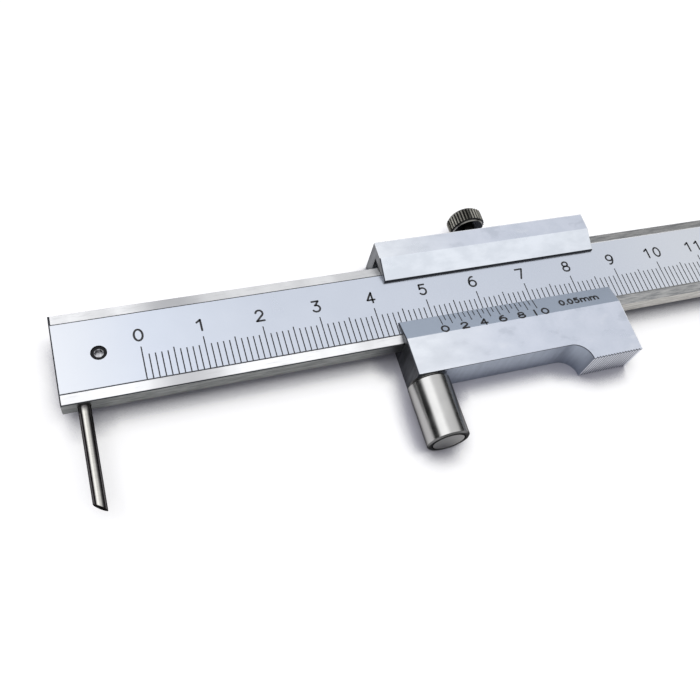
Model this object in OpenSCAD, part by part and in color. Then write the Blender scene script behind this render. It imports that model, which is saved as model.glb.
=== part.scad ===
// Marking caliper: a graduated beam carries a scriber across its end, and a slider
// with a vernier carries a guide roller that runs along the edge of the work.
// The origin is the centre of the slider's flat back, on the beam's centre line.
// X runs along the beam towards larger readings, Y across it towards the lock screw,
// and Z stands up from the flat back. All sizes are in millimetres.

/* [Reading] */
// Distance between the scriber's point and the roller where the slider stands
reading = 51; // [10:0.05:190]

/* [Beam] */
// Width of the beam
beam_w = 16; // [15:0.5:18]
// Thickness of the beam
beam_t = 3.5; // [3.3:0.1:4.5]
// Plain length of the beam to the left of the zero line
zero_margin = 13.3; // [12.8:0.1:16]
// Width of the ground bevel along each edge of the beam
edge_bevel_w = 1.8; // [1:0.1:2.2]
// Depth of the ground bevel at the beam's edge
edge_bevel_t = 0.3; // [0.1:0.05:0.6]

/* [Main scale] */
// Length of the graduated range
scale_l = 200; // [192:1:205]
// Distance from one line to the next
scale_step = 1; // [1:1:2]
// Width of an engraved line
line_w = 0.18; // [0.1:0.02:0.3]
// Depth of an engraved line
line_depth = 0.06; // [0.04:0.01:0.1]
// Length of every tenth line
long_line = 6.05; // [5.5:0.05:7]
// Length of every fifth line
mid_line = 5.05; // [4.7:0.05:5.4]
// Length of the other lines
short_line = 4.55; // [4:0.05:4.6]

/* [Vernier] */
// Number of divisions on the vernier
vernier_divs = 20; // [10:10:20]
// Distance from one vernier line to the next
vernier_step = 0.95; // [0.9:0.05:0.95]
// Distance from the slider's left end to the vernier's zero line
vernier_inset = 7.7; // [7.2:0.1:9]
// Length of the vernier's full lines
vernier_long = 2.2; // [1.8:0.1:2.4]
// Length of the vernier's half lines
vernier_short = 1.25; // [0.8:0.05:1.6]

/* [Slider] */
// Length of the slider
slider_l = 43.6; // [42:0.2:50]
// Thickness of the wall behind the beam
back_t = 2.6; // [2:0.1:3.5]
// Running clearance between the beam and the slider
slide_gap = 0.05; // [0.03:0.01:0.08]
// Space above the beam's upper edge, where the gib lies
gib_space = 1.85; // [1.7:0.05:2.5]
// Thickness of the wall above the gib
top_wall = 2.15; // [1.8:0.05:3]
// Height of the flat roof above the beam's face
roof_h = 1.95; // [1.5:0.05:2.5]
// Width of the flat roof, measured from the slider's upper edge
roof_w = 3.4; // [2.5:0.1:4.5]
// Height of the roof's lower lip above the beam's face
lip_h = 0.4; // [0.3:0.05:0.8]
// Height of the lip's lower edge above the beam's centre line
lip_y = 4.5; // [4:0.1:5]
// Distance of the vernier's edge below the beam's centre line
vernier_y = 3.9; // [3.6:0.1:4.2]
// Height of the vernier's edge above the beam's face
vernier_h = 0.16; // [0.12:0.01:0.3]
// Distance of the foot of the vernier's bevel below the beam's centre line
bevel_foot_y = 7.7; // [7.4:0.1:7.8]
// Height of the slider's lower face above the beam's face
front_h = 1.15; // [0.9:0.05:1.6]
// Distance of the slider's lower edge below the beam's lower edge
jaw_drop = 6.65; // [6.2:0.05:8]

/* [Thumb pad] */
// Length of the thumb pad at the slider's right end
pad_l = 10.25; // [8:0.25:14]
// How far the pad stands below the slider's lower edge
pad_drop = 3.5; // [2.5:0.1:4.5]
// Distance from one serration to the next
serration_step = 0.6; // [0.5:0.05:1]
// Depth of a serration
serration_depth = 0.25; // [0.15:0.05:0.35]

/* [Scriber] */
// Diameter of the scriber
scriber_d = 2; // [1.6:0.1:2.2]
// Length of the scriber that stands out of the beam
scriber_out = 17.2; // [14:0.1:20]
// Length of the scriber inside the beam
scriber_in = 13; // [11:0.1:14]
// Slope of the scriber's ground end
scriber_cut = 35; // [20:1:50]
// Distance from the zero line back to the scriber's point
index_offset = 8.95; // [8.6:0.05:9.2]
// Radial clearance of the scriber in its bore
scriber_gap = 0.03; // [0.02:0.01:0.06]
// Depth of the scriber's bore beyond its inner end
bore_spare = 1; // [0.6:0.1:1.5]

/* [Scriber clamp] */
// Diameter of the set screw
set_screw_d = 2.5; // [2.4:0.1:2.6]
// Distance from the zero line back to the set screw
set_screw_x = 6.5; // [6.4:0.1:6.7]
// Depth of the set screw's head below the beam's face
set_screw_sink = 0.2; // [0.1:0.05:0.3]
// Width of the hexagon socket across its flats
socket_w = 1.3; // [1:0.1:1.5]
// Depth of the hexagon socket
socket_depth = 0.7; // [0.5:0.05:0.9]
// Diameter of the clamp pin between the set screw and the scriber
clamp_pin_d = 1.8; // [1.4:0.1:1.9]
// Radial clearance of the set screw and the clamp pin in their bores
clamp_gap = 0.02; // [0.02:0.01:0.04]

/* [Roller] */
// Diameter of the roller
roller_d = 7.6; // [7:0.1:8]
// Distance of the roller's free end below the beam's lower edge
roller_reach = 18.25; // [16:0.25:22]
// Diameter of the axle on which the roller turns
axle_d = 3.5; // [3:0.1:3.8]
// Radial clearance between the roller and its axle
roller_gap = 0.05; // [0.03:0.01:0.08]
// Diameter of the axle's head
axle_head_d = 5.6; // [5:0.1:5.8]
// Thickness of the axle's head
axle_head_t = 1.6; // [1.2:0.1:2]
// Width of the dark gap around the axle's head
head_gap = 0.17; // [0.1:0.01:0.25]
// Depth of the axle's seat in the slider
axle_seat = 4.8; // [3.5:0.1:5]
// Thickness of the thrust washer between slider and roller
washer_t = 0.4; // [0.3:0.05:0.6]
// Diameter of the thrust washer
washer_d = 6.4; // [5.5:0.1:6.8]
// End play of the roller
end_play = 0.05; // [0.03:0.01:0.1]
// Bevel on the roller's rims
roller_bevel = 0.25; // [0.1:0.05:0.4]

/* [Lock screw and gib] */
// Diameter of the lock screw's knurled head
knob_d = 6.9; // [6:0.1:7.5]
// Height of the knurled head
knob_h = 3.1; // [2.5:0.1:4]
// Gap between the head and the slider's upper edge
knob_gap = 2.3; // [1.5:0.1:3]
// Number of ridges around the head
knurl_count = 34; // [24:2:40]
// Depth of the knurl
knurl_depth = 0.25; // [0.15:0.05:0.3]
// Bevel on the head's two rims
knob_bevel = 0.4; // [0.2:0.05:0.5]
// Diameter of the lock screw's thread
lock_d = 3; // [2.5:0.1:3]
// Distance of the lock screw from the middle of the slider, to the left
lock_offset = 0.9; // [0:0.1:3]
// Radial clearance of the lock screw in the slider
lock_gap = 0.05; // [0.03:0.01:0.08]
// Diameter of the lock screw's tip
tip_d = 1.9; // [1.6:0.1:2.1]
// Length of the gib
gib_l = 36; // [30:1:38]
// Thickness of the gib
gib_t = 0.6; // [0.5:0.05:0.7]
// Width of the gib across the beam's edge
gib_w = 2.6; // [2:0.1:2.7]
// Height by which the gib's ends bow away from the beam
gib_bow = 0.55; // [0.3:0.05:0.65]
// Depth of the dimple in the gib that takes the lock screw's tip
dimple_depth = 0.25; // [0.15:0.05:0.3]

/* [End stop] */
// Travel of the slider beyond the end of the scale
overrun = 0.5; // [0.2:0.1:2]
// Distance kept between the slider and the stop screw at the end of its travel
stop_gap = 0.3; // [0.1:0.1:0.5]
// Diameter of the stop screw's head
stop_head_d = 5; // [4.5:0.1:6]
// Height of the stop screw's head
stop_head_h = 1.5; // [1.2:0.1:1.8]
// Diameter of the stop screw's shank
stop_shank_d = 2.5; // [2:0.1:3]
// Length of the stop screw's shank in the beam
stop_shank_l = 2.4; // [1.8:0.1:2.6]
// Width of the slot in the stop screw's head
stop_slot_w = 0.8; // [0.6:0.1:1]
// Length of the beam beyond the stop screw
end_land = 11.5; // [6:0.5:20]

/* [Hidden] */
$fn = 64;
past = 1;

// Heights of the beam's two faces and of its mid-plane above the flat back.
beam_back = back_t + slide_gap;
beam_face = beam_back + beam_t;
beam_mid = beam_back + beam_t / 2;
beam_edge = beam_w / 2;

// Places along the beam.
slider_x = slider_l / 2;
vernier_x = -slider_x + vernier_inset;
zero_x = vernier_x - reading;
beam_x = zero_x - zero_margin;
line_foot = -(beam_edge - edge_bevel_w);

// Slider outline.
channel_top = beam_edge + gib_space;
slider_top = channel_top + top_wall;
jaw_y = -beam_edge - jaw_drop;
pad_y = jaw_y - pad_drop;
pad_x = slider_x - pad_l;
roof_z = beam_face + roof_h;
front_z = beam_face + front_h;
bevel_slope = atan((front_h - vernier_h) / (bevel_foot_y - vernier_y));

// Scriber and its clamp.
scriber_x = zero_x - index_offset - scriber_d / 2;
scriber_top = -beam_edge + scriber_in;
scriber_tip = -beam_edge - scriber_out;
clamp_x = zero_x - set_screw_x;
screw_top = beam_face - set_screw_sink;
screw_tip = beam_back + 0.9;
cone_z = screw_tip + set_screw_d / 2;
screw_bore_floor = screw_tip - clamp_gap;
pin_start = scriber_x + scriber_d / 2 + clamp_gap;
pin_apex = clamp_x + screw_tip - beam_mid - 2 * clamp_gap;

// Roller on its axle, with the roller's left side under the scale's index.
roller_x = vernier_x - index_offset + roller_d / 2;
roller_z = roller_d / 2 + 0.05;
roller_top = jaw_y - washer_t - end_play;
roller_end = -beam_edge - roller_reach;
axle_hole_r = axle_d / 2 + roller_gap;

// Lock screw and gib.
lock_x = -lock_offset;
knob_y = slider_top + knob_gap;
gib_y = beam_edge + slide_gap;
gib_r = (pow(gib_l / 2, 2) + pow(gib_bow, 2)) / (2 * gib_bow);
gib_half = asin(gib_l / 2 / gib_r);
tip_y = gib_y + gib_t - dimple_depth + slide_gap;
knurl_root_d = knob_d - 2 * knurl_depth;
rim_foot_d = knurl_root_d - 0.1;
rim_d = rim_foot_d - knob_bevel;

// Stop screw near the right end of the beam's back.
stop_x = slider_x + scale_l + overrun - reading + stop_gap + stop_head_d / 2;
stop_slot_depth = stop_head_h / 3;
beam_l = stop_x + end_land - beam_x;

module along_x(x0, l) {
    translate([x0, 0, 0]) rotate([90, 0, 90]) linear_extrude(height = l) children();
}

module along_y(y0, y1, d) {
    translate([0, y0, 0]) rotate([-90, 0, 0]) cylinder(d = d, h = y1 - y0);
}

// Cross-section of the beam: a flat bar with a shallow ground bevel on all four edges.
module beam_section() {
    flat = beam_edge - edge_bevel_w;
    polygon([
        [-flat, beam_back], [flat, beam_back],
        [beam_edge, beam_back + edge_bevel_t], [beam_edge, beam_face - edge_bevel_t],
        [flat, beam_face], [-flat, beam_face],
        [-beam_edge, beam_face - edge_bevel_t], [-beam_edge, beam_back + edge_bevel_t]
    ]);
}

function line_length(i) = i % 10 == 0 ? long_line : i % 5 == 0 ? mid_line : short_line;

module main_graduations() {
    for (i = [0 : floor(scale_l / scale_step)])
        translate([zero_x + i * scale_step - line_w / 2, line_foot, beam_face - line_depth])
            cube([line_w, line_length(i), past]);
}

// Groups of cutters that make the scriber's bore, its clamp and the stop screw's hole.
module beam_bores() {
    translate([scriber_x, 0, beam_mid])
        along_y(-beam_edge - past, scriber_top + bore_spare, scriber_d + 2 * scriber_gap);
    translate([beam_x - past, 0, beam_mid])
        rotate([0, 90, 0]) cylinder(d = clamp_pin_d + 2 * clamp_gap, h = clamp_x - beam_x + past);
    translate([clamp_x, 0, screw_bore_floor])
        cylinder(d = set_screw_d + 2 * clamp_gap, h = beam_t);
    translate([stop_x, 0, beam_back - past])
        cylinder(d = stop_shank_d, h = stop_shank_l + past);
}

module beam() {
    color("gainsboro") difference() {
        along_x(beam_x, beam_l) beam_section();
        beam_bores();
        main_graduations();
    }
}

// Hard metal scriber, ground off at a slope so that its point faces the roller.
module scriber() {
    reach = 3 * scriber_d;
    color("dimgray") translate([scriber_x, 0, beam_mid]) difference() {
        along_y(scriber_tip - past, scriber_top, scriber_d);
        translate([scriber_d / 2, scriber_tip, 0]) rotate([0, 0, -scriber_cut])
            translate([-reach, -reach, -reach / 2]) cube([reach + past, reach, reach]);
    }
}

// Set screw with a cone point that pushes the clamp pin sideways onto the scriber.
module set_screw() {
    color("black") translate([clamp_x, 0, 0]) difference() {
        union() {
            translate([0, 0, cone_z]) cylinder(d = set_screw_d, h = screw_top - cone_z);
            translate([0, 0, screw_tip]) cylinder(d1 = 0, d2 = set_screw_d, h = cone_z - screw_tip);
        }
        translate([0, 0, screw_top - socket_depth])
            cylinder(d = socket_w / cos(30), h = socket_depth + past, $fn = 6);
    }
}

module clamp_pin() {
    cone_l = clamp_pin_d / 2;
    color("darkgoldenrod") translate([0, 0, beam_mid]) rotate([0, 90, 0]) {
        translate([0, 0, pin_start]) cylinder(d = clamp_pin_d, h = pin_apex - cone_l - pin_start);
        translate([0, 0, pin_apex - cone_l]) cylinder(d1 = clamp_pin_d, d2 = 0, h = cone_l);
    }
}

// Cheese-head screw on the beam's back that keeps the slider from running off.
module end_stop_screw() {
    head_z = beam_back - stop_head_h;
    color("dimgray") translate([stop_x, 0, 0]) difference() {
        union() {
            translate([0, 0, head_z]) cylinder(d = stop_head_d, h = stop_head_h);
            translate([0, 0, beam_back]) cylinder(d = stop_shank_d, h = stop_shank_l);
        }
        translate([-stop_head_d, -stop_slot_w / 2, head_z - past])
            cube([2 * stop_head_d, stop_slot_w, stop_slot_depth + past]);
    }
}

// Side outline of the slider, with the thumb pad behind a round hollow.
module slider_outline() {
    difference() {
        union() {
            translate([-slider_x, jaw_y]) square([slider_l, slider_top - jaw_y]);
            translate([pad_x - pad_drop, pad_y]) square([pad_l + pad_drop, pad_drop + past]);
        }
        translate([pad_x - pad_drop, pad_y]) circle(r = pad_drop);
        for (x = [pad_x + serration_step : serration_step : slider_x - serration_step / 2])
            translate([x, pad_y])
                polygon([[-serration_step / 2, 0], [-serration_step / 2, -past], [serration_step / 2, -past],
                         [serration_step / 2, 0], [0, serration_depth]]);
    }
}

// Cross-section of the slider: a channel around the beam, open over the scale.
// Above, a flat roof falls to a thin lip, and below, the vernier's bevel rises to the face.
module slider_section() {
    low = pad_y - past;
    sunk = beam_face - past;
    difference() {
        polygon([
            [low, 0], [slider_top, 0], [slider_top, roof_z], [slider_top - roof_w, roof_z],
            [lip_y, beam_face + lip_h], [lip_y, sunk], [-vernier_y, sunk],
            [-vernier_y, beam_face + vernier_h], [-bevel_foot_y, front_z], [low, front_z]
        ]);
        translate([-beam_edge - slide_gap, back_t])
            square([channel_top + beam_edge + slide_gap, beam_t + 2 * slide_gap]);
    }
}

// Lines of the vernier, cut at right angles into its bevel.
module vernier_graduations() {
    for (i = [0 : vernier_divs]) {
        l = i % 2 == 0 ? vernier_long : vernier_short;
        translate([vernier_x + i * vernier_step, -vernier_y, beam_face + vernier_h])
            rotate([-bevel_slope, 0, 0]) translate([-line_w / 2, -l, -line_depth])
                cube([line_w, l + past, past]);
    }
}

module slider() {
    color("lightsteelblue") difference() {
        intersection() {
            linear_extrude(height = roof_z) slider_outline();
            along_x(-slider_x, slider_l) slider_section();
        }
        vernier_graduations();
        translate([roller_x, 0, roller_z]) along_y(jaw_y - past, jaw_y + axle_seat, axle_d);
        translate([lock_x, 0, beam_mid]) along_y(channel_top - past, slider_top + past, lock_d + 2 * lock_gap);
    }
}

// Bowed strip of spring steel between the slider and the beam's upper edge.
module gib() {
    color("goldenrod") difference() {
        translate([lock_x, gib_y + gib_r, beam_mid - gib_w / 2])
            rotate_extrude(start = 270 - gib_half, angle = 2 * gib_half, $fn = 720)
                translate([gib_r - gib_t, 0]) square([gib_t, gib_w]);
        translate([lock_x, 0, beam_mid])
            along_y(gib_y + gib_t - dimple_depth, gib_y + gib_t + past, tip_d + 2 * lock_gap);
    }
}

// Straight knurl: a star of fine ridges between two bevelled rims.
module knurled_head() {
    ridge_h = knob_h - 2 * knob_bevel;
    tooth = 180 / knurl_count;
    translate([0, 0, knob_bevel]) linear_extrude(height = ridge_h)
        polygon([for (i = [0 : 2 * knurl_count - 1])
            let (r = i % 2 == 0 ? knob_d / 2 : knurl_root_d / 2) [r * cos(i * tooth), r * sin(i * tooth)]]);
    cylinder(d1 = rim_d, d2 = rim_foot_d, h = knob_bevel);
    translate([0, 0, knob_h - knob_bevel]) cylinder(d1 = rim_foot_d, d2 = rim_d, h = knob_bevel);
}

module lock_screw() {
    color("dimgray") translate([lock_x, 0, beam_mid]) {
        translate([0, knob_y, 0]) rotate([-90, 0, 0]) knurled_head();
        along_y(tip_y + dimple_depth, knob_y, lock_d);
        along_y(tip_y, tip_y + dimple_depth, tip_d);
    }
}

// Hardened sleeve with bevelled rims and a counterbore that hides the axle's head.
module roller() {
    r = roller_d / 2;
    seat = roller_end + axle_head_t + end_play;
    color("silver") translate([roller_x, 0, roller_z]) rotate([-90, 0, 0]) rotate_extrude()
        polygon([
            [axle_hole_r, seat], [axle_head_d / 2 + head_gap, seat], [axle_head_d / 2 + head_gap, roller_end],
            [r - roller_bevel, roller_end], [r, roller_end + roller_bevel],
            [r, roller_top - roller_bevel], [r - roller_bevel, roller_top], [axle_hole_r, roller_top]
        ]);
}

module roller_axle() {
    color("gray") translate([roller_x, 0, roller_z]) {
        along_y(roller_end, roller_end + axle_head_t, axle_head_d);
        along_y(roller_end + axle_head_t, jaw_y + axle_seat, axle_d);
    }
}

module thrust_washer() {
    color("black") translate([roller_x, 0, roller_z]) difference() {
        along_y(jaw_y - washer_t, jaw_y, washer_d);
        along_y(jaw_y - washer_t - past, jaw_y + past, axle_d + 2 * roller_gap);
    }
}

beam();
scriber();
set_screw();
clamp_pin();
end_stop_screw();
slider();
gib();
lock_screw();
roller();
roller_axle();
thrust_washer();
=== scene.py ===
"""Marking caliper: finishes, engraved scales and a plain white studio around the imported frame."""
import math

import bmesh
import bpy
from mathutils import Matrix, Vector


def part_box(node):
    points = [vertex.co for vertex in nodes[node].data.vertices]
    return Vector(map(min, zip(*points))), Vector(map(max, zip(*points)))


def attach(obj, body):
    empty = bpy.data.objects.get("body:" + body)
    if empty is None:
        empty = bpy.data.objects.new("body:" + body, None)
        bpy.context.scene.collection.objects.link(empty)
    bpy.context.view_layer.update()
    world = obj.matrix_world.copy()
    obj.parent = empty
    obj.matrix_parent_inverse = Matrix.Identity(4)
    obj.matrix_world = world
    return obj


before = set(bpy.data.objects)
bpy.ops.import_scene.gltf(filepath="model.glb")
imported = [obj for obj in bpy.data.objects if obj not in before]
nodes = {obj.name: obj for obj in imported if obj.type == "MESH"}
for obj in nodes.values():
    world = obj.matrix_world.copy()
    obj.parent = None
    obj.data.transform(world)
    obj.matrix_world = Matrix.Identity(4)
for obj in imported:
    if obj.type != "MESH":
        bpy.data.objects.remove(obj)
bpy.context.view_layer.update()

MM = 0.001

# The beam's scale, in millimetres, as the part's source has it.
ZERO_MARGIN = 13.3
FACE_HALF = 6.2
SCALE_L = 200
LINE_W = 0.18
LINE_DEPTH = 0.06
LONG_LINE = 6.05
MID_LINE = 5.05
SHORT_LINE = 4.55
# The lines that border the face are painted edge shade, with a painted highlight on the far part of the
# beam.
LOWER_BORDER = 0.22
UPPER_BORDER = 0.15
BORDER_OVERHANG = 0.07

# The slider's vernier, on a bevel that rises away from the beam's lines.
READING = 51
VERNIER_INSET = 7.7
VERNIER_Y = -3.9
VERNIER_H = 0.16
BEVEL_FOOT_Y = -7.7
FRONT_H = 1.15
VERNIER_DIVS = 20
VERNIER_STEP = 0.95
VERNIER_LONG = 2.2
VERNIER_SHORT = 1.25
BEVEL_SLOPE = math.atan((FRONT_H - VERNIER_H) / (VERNIER_Y - BEVEL_FOOT_Y))

# Numerals: width and height of the stroke's middle line, its width, and where their foot stands.
MAIN_TEXT = {"w": 1.36, "h": 2.04, "stroke": 0.35, "foot": 0.97}
VERNIER_TEXT = {"w": 1.28, "h": 1.26, "stroke": 0.36, "foot": -3.82}
UNIT_TEXT = {"w": 0.88, "h": 1.1, "stroke": 0.37, "foot": -2.54}
DIGIT_PITCH = 2.25
VERNIER_PITCH = 2.05
UNIT_START = 74.9
UNIT_GAP = 0.47
MAIN_SHIFT = -0.08
VERNIER_SHIFT = 0.05
LAST_SHIFT = 0.15

# Ink in the engraving: its heights above the metal, and its gaps to a groove's walls.
INK_SUNK = -0.012
INK_PROUD = 0.006
INK_FOOT = -0.03
GROOVE_SIDE_GAP = 0.005
GROOVE_END_GAP = 0.01

# Strokes of the numerals: a curve's step and a round end's stations, in degrees, and the
# distance at which two ends are one point.
ARC_STEP = 12
TIP_ANGLES = (60, 30)
SAME_POINT = 1e-6

# Places on the part, in millimetres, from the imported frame.
beam_low, beam_high = (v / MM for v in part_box("beam"))
slider_low, slider_high = (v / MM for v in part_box("slider"))
screw_low, screw_high = (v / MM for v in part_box("set_screw"))
knob_low, knob_high = (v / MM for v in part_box("lock_screw"))
cap_low, cap_high = (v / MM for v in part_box("roller_axle"))
zero_x = beam_low.x + ZERO_MARGIN
face_z = beam_high.z
vernier_x = slider_low.x + VERNIER_INSET
screw_middle = (screw_low + screw_high) / 2
knob_middle = (knob_low + knob_high) / 2
knob_r = (knob_high.x - knob_low.x) / 2
cap_middle = (cap_low + cap_high) / 2
cap_r = (cap_high.x - cap_low.x) / 2


def arc(cx, cy, rx, ry, start, end):
    """Points along part of an ellipse, by angles in degrees from its right side."""
    count = max(3, round(abs(end - start) / ARC_STEP) + 1)
    angles = [math.radians(start + (end - start) * i / (count - 1)) for i in range(count)]
    return [(cx + rx * math.cos(a), cy + ry * math.sin(a)) for a in angles]


# Each numeral is a few strokes of a round cutter, in a cell one unit wide and high.
GLYPHS = {
    "0": [arc(0.5, 0.5, 0.5, 0.5, 0, 360)],
    "1": [[(0.12, 0.78), (0.6, 1)], [(0.6, 1), (0.6, 0)]],
    "2": [arc(0.5, 0.7, 0.44, 0.3, 165, -30) + [(0.02, 0)], [(0.02, 0), (1, 0)]],
    "3": [[(0.06, 1), (0.9, 1)], [(0.9, 1), (0.42, 0.6)], arc(0.45, 0.31, 0.5, 0.31, 100, -150)],
    "4": [[(0.7, 1), (0, 0.28)], [(0, 0.28), (1, 0.28)], [(0.7, 1), (0.7, 0)]],
    "5": [[(0.9, 1), (0.18, 1)], [(0.18, 1), (0.13, 0.56)], arc(0.46, 0.33, 0.5, 0.33, 132, -145)],
    "6": [arc(0.5, 0.31, 0.5, 0.31, 0, 360), arc(0.66, 0.31, 0.66, 0.69, 180, 82)],
    "7": [[(0, 1), (1, 1)], [(1, 1), (0.46, 0)]],
    "8": [arc(0.5, 0.76, 0.41, 0.24, 0, 360), arc(0.5, 0.27, 0.5, 0.27, 0, 360)],
    "9": [arc(0.5, 0.69, 0.5, 0.31, 0, 360), arc(0.34, 0.69, 0.66, 0.69, 0, -98)],
    "|": [[(0.5, 1), (0.5, 0)]],
    ".": [[(0, 0), (0.02, 0)]],
    "m": [
        [(0, 0), (0, 0.7)],
        arc(0.45, 0.42, 0.45, 0.28, 180, 0) + [(0.9, 0)],
        arc(1.35, 0.42, 0.45, 0.28, 180, 0) + [(1.8, 0)],
    ],
}
GLYPH_W = {".": 0, "m": 1.8}


def plate(bm, corners, low, high):
    """Adds a closed slab between two heights from corners that run anticlockwise."""
    foot = [bm.verts.new((x, y, low)) for x, y in corners]
    top = [bm.verts.new((x, y, high)) for x, y in corners]
    bm.faces.new(top)
    bm.faces.new(foot[::-1])
    for i, corner in enumerate(foot):
        j = (i + 1) % len(corners)
        bm.faces.new((corner, foot[j], top[j], top[i]))


def bar(bm, x0, x1, y0, y1, low, high):
    """Adds a closed bar with straight sides."""
    plate(bm, [(x0, y0), (x1, y0), (x1, y1), (x0, y1)], low, high)


def groove_fill(bm, x, y0, y1):
    """Adds the ink in one engraved line, a hair clear of the groove's walls."""
    half = LINE_W / 2 - GROOVE_SIDE_GAP
    bar(bm, x - half, x + half, y0 + GROOVE_END_GAP, y1 - GROOVE_END_GAP, -LINE_DEPTH, INK_SUNK)


def round_tips(start, inward, half):
    """Middle points and half widths of a stroke's round end, from its tip inwards."""
    angles = [math.radians(a) for a in TIP_ANGLES]
    return [(start - inward * half * math.sin(a), half * math.cos(a)) for a in angles]


def stations(points, half, closed):
    """Middle points of a stroke with its half width at each, round at both ends."""
    rows = [(Vector(p), half) for p in points]
    if closed:
        return rows[:-1]
    first, second = rows[0][0], rows[1][0]
    last, before = rows[-1][0], rows[-2][0]
    head = round_tips(first, (second - first).normalized(), half)
    tail = round_tips(last, (before - last).normalized(), half)
    return head + rows + tail[::-1]


def ribbon(bm, points, width):
    """Adds a stroke of even width as a closed strip that stands a hair above the metal."""
    closed = (Vector(points[0]) - Vector(points[-1])).length < SAME_POINT
    rows = stations(points, width / 2, closed)
    count = len(rows)
    rings = []
    for i, (middle, half) in enumerate(rows):
        before = rows[(i - 1) % count if closed else max(i - 1, 0)][0]
        after = rows[(i + 1) % count if closed else min(i + 1, count - 1)][0]
        along = (after - before).normalized()
        side = Vector((-along.y, along.x)) * half
        left, right = middle + side, middle - side
        section = ((left, INK_PROUD), (left, INK_FOOT), (right, INK_FOOT), (right, INK_PROUD))
        rings.append([bm.verts.new((*p, z)) for p, z in section])
    for i in range(count if closed else count - 1):
        one, two = rings[i], rings[(i + 1) % count]
        for k in range(4):
            bm.faces.new((one[k], one[(k + 1) % 4], two[(k + 1) % 4], two[k]))
    if not closed:
        bm.faces.new(rings[0][::-1])
        bm.faces.new(rings[-1])


def glyph(bm, name, x, style):
    """Adds one numeral with its left side at x."""
    for stroke in GLYPHS[name]:
        points = [(x + px * style["w"], style["foot"] + py * style["h"]) for px, py in stroke]
        ribbon(bm, points, style["stroke"])


def centred_text(bm, text, x, style, pitch):
    """Adds numerals side by side with the middle of the group at x."""
    first = x - (len(text) - 1) * pitch / 2 - style["w"] / 2
    for i, name in enumerate(text):
        glyph(bm, name, first + i * pitch, style)


def piece(name, bm, place, body, material):
    """Turns a mesh in millimetres into a piece that rides on a body."""
    bmesh.ops.recalc_face_normals(bm, faces=bm.faces)
    mesh = bpy.data.meshes.new(name)
    bm.to_mesh(mesh)
    bm.free()
    mesh.transform(Matrix.Scale(MM, 4) @ place)
    mesh.materials.append(material)
    made = bpy.data.objects.new(name, mesh)
    bpy.context.scene.collection.objects.link(made)
    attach(made, body)


def main_scale(ink, border_paint):
    """Ink in the beam's lines and its numerals, and the two lines that border the face: painted edge
    shade, which turns into a painted highlight on the upper line on the far part of the beam.
    """
    face = Matrix.Translation((0, 0, face_z))
    lines = bmesh.new()
    for i in range(SCALE_L + 1):
        length = LONG_LINE if i % 10 == 0 else MID_LINE if i % 5 == 0 else SHORT_LINE
        groove_fill(lines, zero_x + i, -FACE_HALF, length - FACE_HALF)
    piece("scale_lines", lines, face, "beam", ink)
    numerals = bmesh.new()
    for tens in range(SCALE_L // 10 + 1):
        centred_text(numerals, str(tens), zero_x + 10 * tens + MAIN_SHIFT, MAIN_TEXT, DIGIT_PITCH)
    piece("scale_numerals", numerals, face, "beam", ink)
    borders = bmesh.new()
    lower = -FACE_HALF - BORDER_OVERHANG
    upper = FACE_HALF + BORDER_OVERHANG - UPPER_BORDER
    for y, width in ((lower, LOWER_BORDER), (upper, UPPER_BORDER)):
        bar(borders, beam_low.x, beam_high.x, y, y + width, INK_FOOT, INK_PROUD / 2)
    piece("scale_borders", borders, face, "beam", border_paint)


def vernier(ink):
    """Ink in the vernier's lines, its numerals and its division, all on the bevel."""
    bevel = Matrix.Translation((vernier_x, VERNIER_Y, face_z + VERNIER_H))
    bevel = bevel @ Matrix.Rotation(-BEVEL_SLOPE, 4, "X")
    lines = bmesh.new()
    for i in range(VERNIER_DIVS + 1):
        groove_fill(lines, i * VERNIER_STEP, -(VERNIER_SHORT if i % 2 else VERNIER_LONG), 0)
    piece("vernier_lines", lines, bevel, "slider", ink)
    numerals = bmesh.new()
    for value in range(0, VERNIER_DIVS // 2, 2):
        centred_text(numerals, str(value), value * 2 * VERNIER_STEP + VERNIER_SHIFT, VERNIER_TEXT, 0)
    centred_text(numerals, "|0", VERNIER_DIVS * VERNIER_STEP + LAST_SHIFT, VERNIER_TEXT, VERNIER_PITCH)
    piece("vernier_numerals", numerals, bevel, "slider", ink)
    unit = bmesh.new()
    x = UNIT_START - READING
    for name in "0.05mm":
        glyph(unit, name, x, UNIT_TEXT)
        x += GLYPH_W.get(name, 1) * UNIT_TEXT["w"] + UNIT_GAP
    piece("vernier_unit", unit, bevel, "slider", ink)


# Sockets of a colour mix, and samples of the nodes that look around a point.
MIX_FACTOR = 0
MIX_ONE = 6
MIX_TWO = 7
MIX_RESULT = 2
BEVEL_SAMPLES = 6
CLEAR_SAMPLES = 8

# Parts of a noise's range over which a tone goes from its darker to its lighter colour.
WIDE = (0.3, 0.7)
NARROW = (0.35, 0.65)
UPPER = (0.35, 0.75)
ROUGH_RANGE = (0.2, 0.8)


def rgba(rgb):
    """A colour with full cover."""
    return (*rgb, 1.0)


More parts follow.
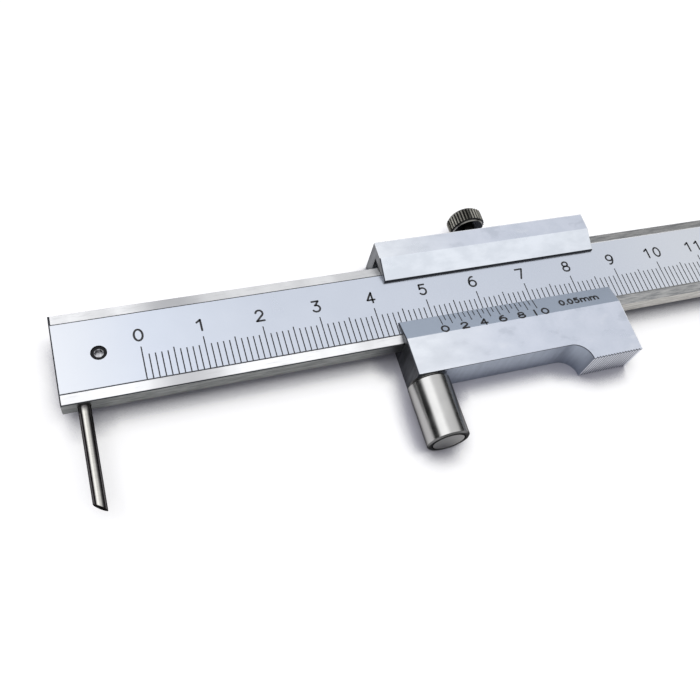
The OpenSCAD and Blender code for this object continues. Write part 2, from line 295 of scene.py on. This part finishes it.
class Nodes:
    """A node tree of a material or the world, with short calls for the nodes used here."""

    def __init__(self, owner, output):
        """Clears the owner's tree and adds its output node."""
        self.owner = owner
        owner.use_nodes = True
        self.tree = owner.node_tree
        self.tree.nodes.clear()
        self.out = self.add(output)
        self.coords = self.add("ShaderNodeTexCoord")

    def add(self, kind, *values, **named):
        """Adds a node and fills its inputs, by order and by name."""
        node = self.tree.nodes.new(kind)
        for index, value in enumerate(values):
            self.put(node.inputs[index], value)
        for name, value in named.items():
            self.put(node.inputs[name.replace("_", " ")], value)
        return node

    def put(self, socket, value):
        """Links or sets one input. None leaves it as it is."""
        if isinstance(value, bpy.types.NodeSocket):
            self.tree.links.new(value, socket)
        elif value is not None:
            socket.default_value = value

    def math(self, operation, *values):
        """Result of one arithmetic node."""
        node = self.add("ShaderNodeMath", *values)
        node.operation = operation
        return node.outputs[0]

    def ramp(self, value, low, high, out_low=0.0, out_high=1.0, smooth=True):
        """Maps the span from low to high onto another one and stops at its ends."""
        node = self.add("ShaderNodeMapRange", value, low, high, out_low, out_high)
        node.interpolation_type = "SMOOTHSTEP" if smooth else "LINEAR"
        return node.outputs[0]

    def above(self, value, edge, soft=0.02):
        """1 where a length is above an edge in millimetres, and 0 below it."""
        return self.ramp(value, (edge - soft) * MM, (edge + soft) * MM)

    def below(self, value, edge, soft=0.02):
        """1 where a length is below an edge in millimetres, and 0 above it."""
        return self.ramp(value, (edge - soft) * MM, (edge + soft) * MM, 1.0, 0.0)

    def both(self, *masks):
        """Product of masks: 1 where all of them are 1."""
        total = masks[0]
        for mask in masks[1:]:
            total = self.math("MULTIPLY", total, mask)
        return total

    def size(self, value):
        """A number without its sign."""
        return self.math("ABSOLUTE", value)

    def radius(self, one, two, middle_one, middle_two):
        """Distance from an axis that stands at two coordinates in millimetres."""
        one = self.math("SUBTRACT", one, middle_one * MM)
        two = self.math("SUBTRACT", two, middle_two * MM)
        squares = self.math("MULTIPLY", one, one), self.math("MULTIPLY", two, two)
        return self.math("SQRT", self.math("ADD", *squares))

    def position(self):
        """Place of a point in the CAD frame, in metres."""
        return self.add("ShaderNodeSeparateXYZ", self.coords.outputs["Object"]).outputs

    def facing(self):
        """Parts of the surface's own direction, fixed to the piece."""
        return self.add("ShaderNodeSeparateXYZ", self.coords.outputs["Normal"]).outputs

    def noise(self, scale, stretch=(1, 1, 1), turn=0, detail=3.0, rough=0.55):
        """Noise in object space, with its features per metre, drawn out where stretch is small."""
        mapping = self.add("ShaderNodeMapping", self.coords.outputs["Object"])
        mapping.inputs["Rotation"].default_value = (0, 0, math.radians(turn))
        mapping.inputs["Scale"].default_value = [scale * s for s in stretch]
        node = self.add("ShaderNodeTexNoise", Vector=mapping.outputs[0], Scale=1.0)
        node.inputs["Detail"].default_value = detail
        node.inputs["Roughness"].default_value = rough
        return node.outputs["Fac"]

    def blend(self, factor, one, two):
        """One colour at factor 0 and the other at 1."""
        node = self.tree.nodes.new("ShaderNodeMix")
        node.data_type = "RGBA"
        for index, value in ((MIX_FACTOR, factor), (MIX_ONE, one), (MIX_TWO, two)):
            self.put(node.inputs[index], rgba(value) if isinstance(value, tuple) else value)
        return node.outputs[MIX_RESULT]

    def tones(self, noise, pair, spread):
        """A colour between a darker and a lighter one, over part of the noise's range."""
        return self.blend(self.ramp(noise, *spread), *pair)

    def worn(self, noise, low, high):
        """A roughness that follows the noise between two values."""
        return self.ramp(noise, *ROUGH_RANGE, low, high)

    def share(self, mask, amount):
        """A mask at part of its strength."""
        return self.math("MULTIPLY", mask, amount)

    def bump(self, height, depth, normal=None):
        """Relief of a depth in millimetres."""
        return self.add("ShaderNodeBump", Distance=depth * MM, Height=height, Normal=normal).outputs[0]

    def soft_edges(self, radius):
        """Surface direction with sharp edges rounded to a radius in millimetres."""
        node = self.add("ShaderNodeBevel", Radius=radius * MM)
        node.samples = BEVEL_SAMPLES
        return node.outputs[0]

    def rays(self):
        """1 for the camera's rays, and 1 for rays off glossy surfaces or through clear ones."""
        path = self.add("ShaderNodeLightPath").outputs
        mirrored = self.math("MAXIMUM", path["Is Glossy Ray"], path["Is Transmission Ray"])
        return path["Is Camera Ray"], mirrored

    def finish(self, shader):
        """Links the shader to the output and gives back the material or world."""
        self.tree.links.new(shader.outputs[0], self.out.inputs[0])
        return self.owner

    def metal(self, base, rough, normal=None, edge_tint=1.0):
        """Finishes the tree as a metal. Its grazing reflection is darker at a low edge tint."""
        shader = self.add("ShaderNodeBsdfPrincipled", Base_Color=base, Roughness=rough, Normal=normal)
        shader.inputs["Metallic"].default_value = 1.0
        shader.inputs["Specular Tint"].default_value = rgba([edge_tint] * 3)
        return self.finish(shader)


def new_material(name):
    """An empty material and its node tree."""
    return Nodes(bpy.data.materials.new(name), "ShaderNodeOutputMaterial")


# Finishes. Tones are the darker and the lighter colour of a surface, and lengths are in millimetres.
# A pair named facing holds the parts of a direction between which a mask goes from 0 to 1.
GRAZING_TINT = 0.2
# Where the far part of the beam starts, from the zero line: its strips are duller there, and its painted
# shade and highlights change.
FAR_PART_FROM = 58
FAR_PART_SOFT = 14
INK_TONES = ((0.012, 0.012, 0.014), (0.025, 0.025, 0.029))
BORDER_SHADE_TONES = ((0.034, 0.035, 0.041), (0.08, 0.082, 0.091))
BORDER_LOWER_FAR_TONE = (0.206, 0.206, 0.206)
BORDER_UPPER_HIGHLIGHT = (0.743, 0.743, 0.766)


def engraving_ink():
    """Dull black paint in the engraved lines, a little worn in places."""
    n = new_material("engraving_ink")
    wear = n.noise(2600, detail=2.0)
    base = n.tones(wear, INK_TONES, UPPER)
    return n.finish(n.add("ShaderNodeBsdfPrincipled", Base_Color=base, Roughness=n.worn(wear, 0.5, 0.75)))


def scribed_line():
    """Painted edge shade in the lines that border the face. On the far part of the beam it turns into a
    painted highlight on the upper line, and mid grey on the lower one.
    """
    n = new_material("scribed_line")
    x, y, _ = n.position()
    wear = n.noise(2600, detail=2.0)
    bright = n.blend(n.above(y, 0), BORDER_LOWER_FAR_TONE, BORDER_UPPER_HIGHLIGHT)
    base = n.blend(n.above(x, zero_x + FAR_PART_FROM, FAR_PART_SOFT), n.blend(wear, *BORDER_SHADE_TONES), bright)
    return n.metal(base, n.worn(wear, 0.35, 0.5))


# The beam. Places along it are measured from the zero line.
FACE_TONES = ((0.469, 0.501, 0.572), (0.526, 0.558, 0.629))
LEFT_FACE_REFLECTION_TONES = ((0.493, 0.51, 0.549), (0.549, 0.565, 0.604))
RIGHT_FACE_REFLECTION_TONES = ((0.572, 0.594, 0.64), (0.652, 0.674, 0.72))
LEFT_FACE_X = -5
LEFT_FACE_SOFT = 9
RIGHT_FACE_X = 95
RIGHT_FACE_SOFT = 20
STRIP_TONES = ((0.64, 0.64, 0.652), (0.8, 0.8, 0.812))
STREAK_TONE = (0.411, 0.411, 0.423)
STREAK_RANGE = (0.5, 0.75)
STREAK_SHARE = 0.4
RUBBED_TONE = (0.366, 0.366, 0.383)
RUBBED_X = 6
RUBBED_HALF = 5
RUBBED_SOFT = (4, 5)
RUBBED_SHARE = 0.75
DULL_STRIP_TONES = ((0.194, 0.198, 0.206), (0.411, 0.408, 0.402))
BEAM_EDGE_SHADE_TONE = (0.029, 0.03, 0.034)
BEAM_EDGE_SHADE_W = 0.2
BEAM_END_SHADE_W = 0.34
BEAM_SIDE_SHADE_TONES = ((0.114, 0.121, 0.12), (0.251, 0.259, 0.254))
PALE_SIDE_TONES = ((0.359, 0.352, 0.324), (0.612, 0.593, 0.559))
SIDE_FACING = (0.6, 0.8)
END_TONE = (0.069, 0.069, 0.074)


def beam_face(n, x, cloud):
    """Tone of the graduated face, lighter towards both ends as a painted reflection."""
    left = n.below(x, zero_x + LEFT_FACE_X, LEFT_FACE_SOFT)
    right = n.above(x, zero_x + RIGHT_FACE_X, RIGHT_FACE_SOFT)
    face = n.blend(left, n.blend(cloud, *FACE_TONES), n.blend(cloud, *LEFT_FACE_REFLECTION_TONES))
    return n.blend(right, face, n.blend(cloud, *RIGHT_FACE_REFLECTION_TONES))


def beam_strips(n, x, far, streaks):
    """Tone of the ground strips along the edges, rubbed near the zero line and dull far from it."""
    patches = n.noise(95, stretch=(1, 0.4, 1), turn=-30, detail=4.0)
    strips = n.tones(patches, STRIP_TONES, NARROW)
    strips = n.blend(n.ramp(streaks, *STREAK_RANGE, 0.0, STREAK_SHARE), strips, STREAK_TONE)
    start = n.above(x, zero_x + RUBBED_X - RUBBED_HALF, RUBBED_SOFT[0])
    stop = n.below(x, zero_x + RUBBED_X + RUBBED_HALF, RUBBED_SOFT[1])
    strips = n.blend(n.share(n.both(start, stop), RUBBED_SHARE), strips, RUBBED_TONE)
    return n.blend(far, strips, n.tones(streaks, DULL_STRIP_TONES, WIDE))


def beam_breaks(n, x, y):
    """Mask of the edges painted dark as edge shade, along the lower side and at the scriber's end, up to
    the far part of the beam.
    """
    edges = n.math("MAXIMUM", n.below(y, beam_low.y + BEAM_EDGE_SHADE_W), n.below(x, beam_low.x + BEAM_EDGE_SHADE_W))
    end_shade = n.both(n.below(x, beam_low.x + BEAM_END_SHADE_W), n.above(y, FACE_HALF))
    return n.both(n.math("MAXIMUM", edges, end_shade), n.below(x, zero_x + FAR_PART_FROM, FAR_PART_SOFT))


def beam_steel():
    """Satin chrome on the graduated face, and ground steel on its bevels, sides and ends."""
    n = new_material("beam_steel")
    x, y, _ = n.position()
    nx, ny, _ = n.facing()
    cloud = n.noise(150, detail=4.0)
    satin = n.noise(1500, stretch=(0.08, 1, 1))
    streaks = n.noise(2600, stretch=(0.12, 1, 1), turn=9, detail=5.0, rough=0.65)
    strip = n.above(n.size(y), FACE_HALF)
    far = n.above(x, zero_x + FAR_PART_FROM, FAR_PART_SOFT)
    base = n.blend(strip, beam_face(n, x, cloud), beam_strips(n, x, far, streaks))
    base = n.blend(beam_breaks(n, x, y), base, BEAM_EDGE_SHADE_TONE)
    # The sides are darkened as painted shade, less on the far part of the beam.
    sides = n.blend(far, n.tones(streaks, BEAM_SIDE_SHADE_TONES, WIDE), n.tones(streaks, PALE_SIDE_TONES, WIDE))
    base = n.blend(n.ramp(n.size(ny), *SIDE_FACING), base, sides)
    base = n.blend(n.ramp(n.size(nx), *SIDE_FACING), base, END_TONE)
    rough = n.math("ADD", n.worn(cloud, 0.27, 0.33), n.share(strip, 0.04))
    grain = n.math("ADD", n.share(satin, 0.4), n.math("MULTIPLY", streaks, strip))
    return n.metal(base, rough, n.bump(grain, 0.003, n.soft_edges(0.07)))


# The slider. Places are in the CAD frame.
CHROME_TONES = ((0.491, 0.523, 0.6), (0.566, 0.594, 0.674))
LEFT_CHROME_HIGHLIGHT_TONES = ((0.594, 0.617, 0.663), (0.686, 0.709, 0.754))
LEFT_CHROME_X = -11
LEFT_CHROME_SOFT = 14
LIGHT_SMEAR = (0.64, 0.657, 0.709)
LIGHT_SMEAR_RANGE = (0.55, 0.72, 0.0, 0.45)
DARK_SMEAR = (0.354, 0.383, 0.446)
DARK_SMEAR_RANGE = (0.42, 0.3, 0.0, 0.4)
ROOF_HIGHLIGHT_TONES = ((0.658, 0.692, 0.751), (0.745, 0.778, 0.837))
ROOF_FACING = (-0.2, -0.3)
ROOF_FOLD_Y = 8.6
BEVEL_TONES = ((0.389, 0.446, 0.543), (0.446, 0.503, 0.6))
BEVEL_FACING = (0.5, 0.7)
EDGE_HIGHLIGHT_TONE = (0.754, 0.766, 0.789)
EDGE_HIGHLIGHT_W = 0.12
EDGE_HIGHLIGHT_SHARE = 0.7
TOP_FACING = (0.8, 0.9)
SHADED_TONE = (0.046, 0.048, 0.057)
SHADED_W = 0.22
SLIDER_SIDE_SHADE_TONES = ((0.325, 0.359, 0.423), (0.39, 0.429, 0.503))
STEEP_FACING = (0.5, 0.3)
PAD_L = 10.25
PAD_DEPTH = 0.4
RIDGE_HIGHLIGHT_TONE = (0.672, 0.689, 0.739)
FURROW_SHADE_TONE = (0.146, 0.153, 0.18)
RIDGE_H = 0.11
RIDGE_SOFT = 0.09
UNDER_EDGE_SHADE_TONE = (0.06, 0.066, 0.08)
UNDER_EDGE_SHADE_W = 0.28
UNDER_EDGE_SHADE_SOFT = 0.05
LIP_SHADE_TONE = (0.017, 0.018, 0.023)
LIP_Y = 4.5
LIP_SHADE_W = 0.19
ABOUT_FACE = 0.1
DULL_END_TONES = ((0.04, 0.042, 0.048), (0.114, 0.12, 0.131))
END_FACING = (0.75, 0.9)


def chrome_top(n, x, cloud, smear):
    """Tone of the top faces, with light and dark smears, lighter towards the left end as a painted
    highlight.
    """
    top = n.tones(cloud, CHROME_TONES, WIDE)
    top = n.blend(n.ramp(smear, *LIGHT_SMEAR_RANGE), top, LIGHT_SMEAR)
    top = n.blend(n.ramp(smear, *DARK_SMEAR_RANGE), top, DARK_SMEAR)
    left = n.below(x, LEFT_CHROME_X, LEFT_CHROME_SOFT)
    return n.blend(left, top, n.tones(smear, LEFT_CHROME_HIGHLIGHT_TONES, NARROW))


def chrome_edges(n, x, y, nz):
    """Masks of the edges painted bright as a highlight, and of the left edge painted dark as shade."""
    ends = n.above(n.size(x), slider_high.x - EDGE_HIGHLIGHT_W)
    back = n.both(n.above(y, slider_high.y - EDGE_HIGHLIGHT_W), n.ramp(nz, *TOP_FACING))
    shaded = n.both(n.below(x, slider_low.x + SHADED_W), n.below(y, ROOF_FOLD_Y))
    return n.share(n.math("MAXIMUM", ends, back), EDGE_HIGHLIGHT_SHARE), shaded


def milled_side(n, x, y, z, mill):
    """Tone of the milled side, darkened as painted shade, with the thumb pad's ridges painted light as a
    highlight and its furrows dark as shade, and a dark line of painted shade under the top edge.
    """
    pad = n.both(n.above(x, slider_high.x - PAD_L), n.below(y, slider_low.y + PAD_DEPTH))
    ridge_light_and_shade = n.blend(n.above(y, slider_low.y + RIDGE_H, RIDGE_SOFT), RIDGE_HIGHLIGHT_TONE, FURROW_SHADE_TONE)
    side = n.blend(pad, n.tones(mill, SLIDER_SIDE_SHADE_TONES, WIDE), ridge_light_and_shade)
    line = n.above(z, face_z + FRONT_H - UNDER_EDGE_SHADE_W, UNDER_EDGE_SHADE_SOFT)
    return n.blend(line, side, UNDER_EDGE_SHADE_TONE)


def slider_chrome():
    """Fine satin chrome with milled sides and dull ends. Its edges are painted bright as a highlight, and
    its sides and lip are painted dark as shade.
    """
    n = new_material("slider_chrome")
    x, y, z = n.position()
    nx, ny, nz = n.facing()
    cloud = n.noise(190, detail=5.0, rough=0.6)
    smear = n.noise(190, stretch=(1, 1.8, 1), turn=35, detail=4.0, rough=0.55)
    satin = n.noise(1700, stretch=(0.1, 1, 1))
    mill = n.noise(900, stretch=(1, 1, 0.12), detail=4.0, rough=0.7)
    roof = n.both(n.above(y, 0), n.ramp(ny, *ROOF_FACING))
    bevel = n.both(n.above(y, BEVEL_FOOT_Y), n.below(y, VERNIER_Y), n.ramp(nz, *BEVEL_FACING))
    bright, shaded = chrome_edges(n, x, y, nz)
    steep = n.both(n.ramp(nz, *STEEP_FACING), n.below(y, VERNIER_Y))
    lip = n.both(n.above(y, 0), n.below(y, LIP_Y + LIP_SHADE_W), n.above(z, face_z - ABOUT_FACE))
    ends = n.both(n.ramp(n.size(nx), *END_FACING), n.above(n.size(x), slider_high.x - ABOUT_FACE))
    # The roof's slope towards the beam is painted lighter as a highlight.
    base = n.blend(roof, chrome_top(n, x, cloud, smear), n.tones(smear, ROOF_HIGHLIGHT_TONES, NARROW))
    base = n.blend(bevel, base, n.blend(cloud, *BEVEL_TONES))
    base = n.blend(bright, base, EDGE_HIGHLIGHT_TONE)
    base = n.blend(shaded, base, SHADED_TONE)
    base = n.blend(steep, base, milled_side(n, x, y, z, mill))
    # The lip is painted dark as the shade under it.
    base = n.blend(lip, base, LIP_SHADE_TONE)
    base = n.blend(ends, base, n.tones(mill, DULL_END_TONES, WIDE))
    rough = n.math("ADD", n.worn(cloud, 0.26, 0.34), n.share(bevel, 0.06))
    rough = n.math("ADD", rough, n.share(steep, 0.16))
    return n.metal(base, rough, n.bump(satin, 0.002, n.soft_edges(0.06)))


# Roller, axle and scriber.
SLEEVE_TONES = ((0.356, 0.351, 0.348), (0.481, 0.477, 0.467))
SLEEVE_END_SHADE_TONE = (0.16, 0.16, 0.16)
SLEEVE_END_FACING = (0.3, 0.6)
AXLE_GAP_SHADE_TONE = (0.011, 0.011, 0.011)
AXLE_GAP_SHADE_W = 0.22
AXLE_GAP_SHADE_SOFT = 0.06
TURNED_TONES = ((0.114, 0.114, 0.114), (0.24, 0.237, 0.232))
SCRIBER_SHADE_TONES = ((0.08, 0.075, 0.078), (0.137, 0.131, 0.131))
SCRIBER_HIGHLIGHT_TONES = ((0.389, 0.381, 0.357), (0.514, 0.503, 0.474))
SCRIBER_HIGHLIGHT_FACING = (0.89, 0.99)
SCRIBER_ROOT_SHADE = 0.8
SCRIBER_ROOT_SHADE_SOFT = 0.5


def polished_steel():
    """Ground and polished sleeve with fine rings of the grinding wheel. Its end face is painted darker as
    shade, and near black round the axle as the shade of the gap.
    """
    n = new_material("polished_steel")
    x, _, z = n.position()
    _, ny, _ = n.facing()
    rings = n.noise(5200, stretch=(0.02, 1, 0.02), detail=4.0)
    cloud = n.noise(320, detail=4.0)
    axle_gap_shade = n.below(n.radius(x, z, cap_middle.x, cap_middle.z), cap_r + AXLE_GAP_SHADE_W, AXLE_GAP_SHADE_SOFT)
    end = n.blend(axle_gap_shade, SLEEVE_END_SHADE_TONE, AXLE_GAP_SHADE_TONE)
    base = n.blend(n.ramp(n.size(ny), *SLEEVE_END_FACING), n.blend(cloud, *SLEEVE_TONES), end)
    relief = n.bump(rings, 0.0008, n.soft_edges(0.05))
    return n.metal(base, n.worn(cloud, 0.17, 0.26), relief, GRAZING_TINT)


def turned_steel():
    """Turned end face: dull grey with fine scratches."""
    n = new_material("turned_steel")
    grain = n.noise(4200, detail=4.0, rough=0.7)
    return n.metal(n.blend(grain, *TURNED_TONES), n.worn(grain, 0.3, 0.45), n.bump(grain, 0.003))


def hard_metal():
    """Ground hard metal, painted bright along the top as a highlight, and painted dark as shade on its
    sides and near the beam.
    """
    n = new_material("hard_metal")
    _, y, _ = n.position()
    _, _, nz = n.facing()
    rings = n.noise(4800, stretch=(0.02, 1, 0.02), detail=3.0)
    outside_root_shade = n.below(y, beam_low.y - SCRIBER_ROOT_SHADE, SCRIBER_ROOT_SHADE_SOFT)
    top = n.both(n.ramp(nz, *SCRIBER_HIGHLIGHT_FACING), outside_root_shade)
    base = n.blend(top, n.blend(rings, *SCRIBER_SHADE_TONES), n.blend(rings, *SCRIBER_HIGHLIGHT_TONES))
    return n.metal(base, n.worn(rings, 0.16, 0.24), n.bump(rings, 0.0015), GRAZING_TINT)


# Screws and washer.
OXIDE_TONES = ((0.057, 0.057, 0.057), (0.171, 0.166, 0.154))
KNURL_ROOT_TONE = (0.021, 0.021, 0.021)
KNURL_TONES = ((0.149, 0.143, 0.126), (0.354, 0.343, 0.303))
KNURL_RIDGE = 0.11
KNURL_RIDGE_SOFT = 0.1
RIM_HIGHLIGHT_TONES = ((0.171, 0.166, 0.154), (0.377, 0.366, 0.337))
RIM_IN = 0.4
RIM_SOFT = 0.04
RIM_FACING = (0.2, 0.35)
RIM_FACING_END = (0.8, 0.6)
SCREW_SHADE_TONES = ((0.007, 0.007, 0.008), (0.023, 0.023, 0.025))
SOCKET_TONES = ((0.274, 0.274, 0.286), (0.629, 0.629, 0.652))
SOCKET_R = 0.72
SOCKET_SOFT = 0.06


def oxide_grain(n):
    """Fine grain of black oxide."""
    return n.noise(3800, detail=4.0, rough=0.65)


def black_oxide():
    """Black oxide on steel: dark and faintly glossy."""
    n = new_material("black_oxide")
    grain = oxide_grain(n)
    relief = n.bump(grain, 0.003, n.soft_edges(0.05))
    return n.metal(n.tones(grain, OXIDE_TONES, UPPER), n.worn(grain, 0.26, 0.4), relief)


def knurl_oxide():
    """Black oxide, lighter on the ridges of the knurl as wear and a painted highlight, with a painted
    highlight on its rims.
    """
    n = new_material("knurl_oxide")
    x, _, z = n.position()
    _, ny, _ = n.facing()
    grain = oxide_grain(n)
    radius = n.radius(x, z, knob_middle.x, knob_middle.z)
    ridges = n.above(radius, knob_r - KNURL_RIDGE, KNURL_RIDGE_SOFT)
    slope = n.both(n.ramp(n.size(ny), *RIM_FACING), n.ramp(n.size(ny), *RIM_FACING_END))
    rim = n.both(slope, n.below(radius, knob_r - RIM_IN, RIM_SOFT))
    base = n.blend(ridges, KNURL_ROOT_TONE, n.tones(grain, KNURL_TONES, WIDE))
    base = n.blend(rim, base, n.blend(grain, *RIM_HIGHLIGHT_TONES))
    return n.metal(base, n.worn(grain, 0.24, 0.38), n.bump(grain, 0.002, n.soft_edges(0.04)))


def set_screw_oxide():
    """Black oxide, painted near black round the socket as the shade of its hole, and lighter grey in the
    socket.
    """
    n = new_material("set_screw_oxide")
    x, y, _ = n.position()
    grain = oxide_grain(n)
    socket = n.below(n.radius(x, y, screw_middle.x, screw_middle.y), SOCKET_R, SOCKET_SOFT)
    base = n.blend(socket, n.blend(grain, *SCREW_SHADE_TONES), n.tones(grain, SOCKET_TONES, WIDE))
    return n.metal(base, n.worn(grain, 0.3, 0.45), n.bump(grain, 0.003), GRAZING_TINT)


# Copper alloys inside.
BRONZE_TONES = ((0.5, 0.32, 0.17), (0.7, 0.48, 0.28))
BRASS_TONES = ((0.6, 0.46, 0.2), (0.8, 0.66, 0.36))


def warm_metal(name, pair):
    """Rolled or turned copper alloy."""
    n = new_material(name)
    grain = n.noise(2600, stretch=(0.1, 1, 1))
    return n.metal(n.blend(grain, *pair), n.worn(grain, 0.25, 0.38), n.bump(grain, 0.003))


def dress(node, material):
    """Gives a CAD node its finish."""
    nodes[node].data.materials.clear()
    nodes[node].data.materials.append(material)


def dress_all():
    """Gives every CAD node its finish."""
    dress("beam", beam_steel())
    dress("slider", slider_chrome())
    dress("roller", polished_steel())
    dress("roller_axle", turned_steel())
    dress("scriber", hard_metal())
    dress("set_screw", set_screw_oxide())
    dress("lock_screw", knurl_oxide())
    oxide = black_oxide()
    for node in ("end_stop_screw", "thrust_washer"):
        dress(node, oxide)
    dress("gib", warm_metal("spring_bronze", BRONZE_TONES))
    dress("clamp_pin", warm_metal("brass", BRASS_TONES))


# Studio: a white floor under a soft ceiling that fades on its left, right and front, with a brighter
# window in it.
# Diffuse light comes from the ceiling alone. Metal also mirrors a front wall and a low white backdrop.
# Places in the ceiling are in heights above the floor, measured across from the part.
FLOOR_HALF = 2.5
FLOOR_DROP = 0.02
FLOOR_RGB = (0.545, 0.538, 0.605)
FLOOR_GLOW = 0.62
GLOW_RGB = (1.0, 1.0, 0.94)
GLOW_SHADOW_REACH = 5.5
GLOW_SHADOW_EDGE = (0.55, 0.84)
GLOW_SHADOW_LEAN = (0.06, 0.22, 0.97)
SKY_RGB = (0.98, 0.99, 1.0)
LOWEST_RAY = 0.05
CEILING_MIDDLE = (0, 0.3, 1.0)
CEILING_SQUEEZE = (0.55, 1.0, 1.0)
CEILING_REACH = 2.6
CEILING_BRIGHT = 1.4
CEILING_DIM = 0.22
LEFT_EDGE = (-1.7, -1.1)
RIGHT_EDGE = (2.3, 1.05)
FRONT_EDGE = (-0.6, -0.22)
LEFT_SHARES = (0.3, 0.04)
LEFT_DARK = (0, 0.35)
RIGHT_SHARE = 0.12
FRONT_SHARES = (0.3, 0.8)
WINDOW = 0.95
WINDOW_LEFT = (-1.25, -0.95)
WINDOW_RIGHT = (0.13, -0.27)
WINDOW_FRONT = (-0.2, 0.05)
WINDOW_BACK = (1.6, 1.2)
WALL = 0.65
WALL_EDGE = (-0.8, -1.5)
BACKDROP = 1.0
BACKDROP_TOP = (0.06, 0.03)


def white_floor():
    """Matt white, lifted to full white by a glow that the picture and the metal see where nothing is
    near. Ambient occlusion, leaning a little towards the back, holds the glow back near the part and so
    paints a shadow round it.
    """
    n = new_material("floor")
    seen = n.math("MAXIMUM", *n.rays())
    lean = n.add("ShaderNodeCombineXYZ", *GLOW_SHADOW_LEAN).outputs[0]
    clear = n.add("ShaderNodeAmbientOcclusion", Distance=GLOW_SHADOW_REACH * MM, Normal=lean)
    clear.samples = CLEAR_SAMPLES
    lift = n.both(seen, n.ramp(clear.outputs["AO"], *GLOW_SHADOW_EDGE), FLOOR_GLOW)
    matt = n.add("ShaderNodeBsdfDiffuse", Color=rgba(FLOOR_RGB))
    glow = n.add("ShaderNodeEmission", Color=rgba(GLOW_RGB), Strength=lift)
    return n.finish(n.add("ShaderNodeAddShader", matt.outputs[0], glow.outputs[0]))


def floor():
    """A plain square floor a hair below the part."""
    mesh = bpy.data.meshes.new("floor")
    corners = [(-1, -1), (1, -1), (1, 1), (-1, 1)]
    height = -FLOOR_DROP * MM
    mesh.from_pydata([(x * FLOOR_HALF, y * FLOOR_HALF, height) for x, y in corners], [], [(0, 1, 2, 3)])
    mesh.materials.append(white_floor())
    made = bpy.data.objects.new("floor", mesh)
    bpy.context.scene.collection.objects.link(made)


def ceiling_point(n, height):
    """Where a ray meets the ceiling, in heights above the floor."""
    point = n.add("ShaderNodeVectorMath", n.coords.outputs["Generated"])
    point.operation = "SCALE"
    n.put(point.inputs["Scale"], n.math("DIVIDE", 1.0, n.math("MAXIMUM", height, LOWEST_RAY)))
    return point.outputs[0]


def ceiling_glow(n, point):
    """Light that falls off evenly from the ceiling's brightest place."""
    squeezed = n.add("ShaderNodeVectorMath", point, CEILING_SQUEEZE)
    squeezed.operation = "MULTIPLY"
    away = n.add("ShaderNodeVectorMath", squeezed.outputs[0], CEILING_MIDDLE)
    away.operation = "DISTANCE"
    return n.ramp(away.outputs["Value"], 0, CEILING_REACH, CEILING_BRIGHT, CEILING_DIM, smooth=False)


def window_light(n, across, back):
    """Light of the soft window in the ceiling."""
    sides = n.both(n.ramp(across, *WINDOW_LEFT), n.ramp(across, *WINDOW_RIGHT))
    window = n.both(sides, n.ramp(back, *WINDOW_FRONT), n.ramp(back, *WINDOW_BACK))
    return n.math("MULTIPLY", window, WINDOW)


def fade_edges(n, light, across, back, mirrored):
    """Dims the ceiling past its left, right and front edges, less in front for what metal mirrors."""
    left_share = n.ramp(back, *LEFT_DARK, *LEFT_SHARES)
    front_share = n.ramp(mirrored, 0.0, 1.0, *FRONT_SHARES)
    light = n.math("MULTIPLY", light, n.ramp(across, *LEFT_EDGE, left_share, 1.0))
    light = n.math("MULTIPLY", light, n.ramp(across, *RIGHT_EDGE, RIGHT_SHARE, 1.0))
    return n.math("MULTIPLY", light, n.ramp(back, *FRONT_EDGE, front_share, 1.0))


def sky():
    """Light of the studio, and plain white where the picture sees past the floor."""
    world = bpy.data.worlds.new("studio")
    bpy.context.scene.world = world
    n = Nodes(world, "ShaderNodeOutputWorld")
    camera_ray, mirrored = n.rays()
    height = n.add("ShaderNodeSeparateXYZ", n.coords.outputs["Generated"]).outputs["Z"]
    point = ceiling_point(n, height)
    across, back, _ = n.add("ShaderNodeSeparateXYZ", point).outputs
    light = n.math("ADD", ceiling_glow(n, point), window_light(n, across, back))
    light = fade_edges(n, light, across, back, mirrored)
    wall = n.both(mirrored, n.ramp(back, *WALL_EDGE, 0.0, WALL))
    light = n.math("MAXIMUM", light, wall)
    seen = n.math("MAXIMUM", camera_ray, n.both(mirrored, n.ramp(height, *BACKDROP_TOP)))
    light = n.add("ShaderNodeMix", seen, None, light, BACKDROP).outputs[0]
    n.finish(n.add("ShaderNodeBackground", Color=rgba(SKY_RGB), Strength=light))


# Camera: solved from the scale's lines and the slider's corners, in millimetres and degrees.
# What is nearer or farther than its two limits, in metres, is not drawn.
CAMERA_PLACE = (-69.58, -63.32, 126.01)
CAMERA_AZIMUTH = 37.81
CAMERA_ELEVATION = 59.64
CAMERA_ROLL = 23.53
CAMERA_LENS = 41.60
SENSOR = 36.0
CAMERA_SHIFT = (-0.0418, -0.0036)
NEAREST = 0.005
FARTHEST = 20


def camera():
    """The photograph's own viewing place."""
    data = bpy.data.cameras.new("camera")
    data.sensor_width = SENSOR
    data.lens = CAMERA_LENS
    data.shift_x, data.shift_y = CAMERA_SHIFT
    data.clip_start = NEAREST
    data.clip_end = FARTHEST
    made = bpy.data.objects.new("camera", data)
    bpy.context.scene.collection.objects.link(made)
    turn = Matrix.Rotation(math.radians(-CAMERA_AZIMUTH), 4, "Z")
    turn = turn @ Matrix.Rotation(math.radians(90 - CAMERA_ELEVATION), 4, "X")
    turn = turn @ Matrix.Rotation(math.radians(CAMERA_ROLL), 4, "Z")
    made.matrix_world = Matrix.Translation(Vector(CAMERA_PLACE) * MM) @ turn
    bpy.context.scene.camera = made


dress_all()
ink = engraving_ink()
main_scale(ink, scribed_line())
vernier(ink)
floor()
sky()
camera()
bpy.context.scene.view_settings.view_transform = "Standard"
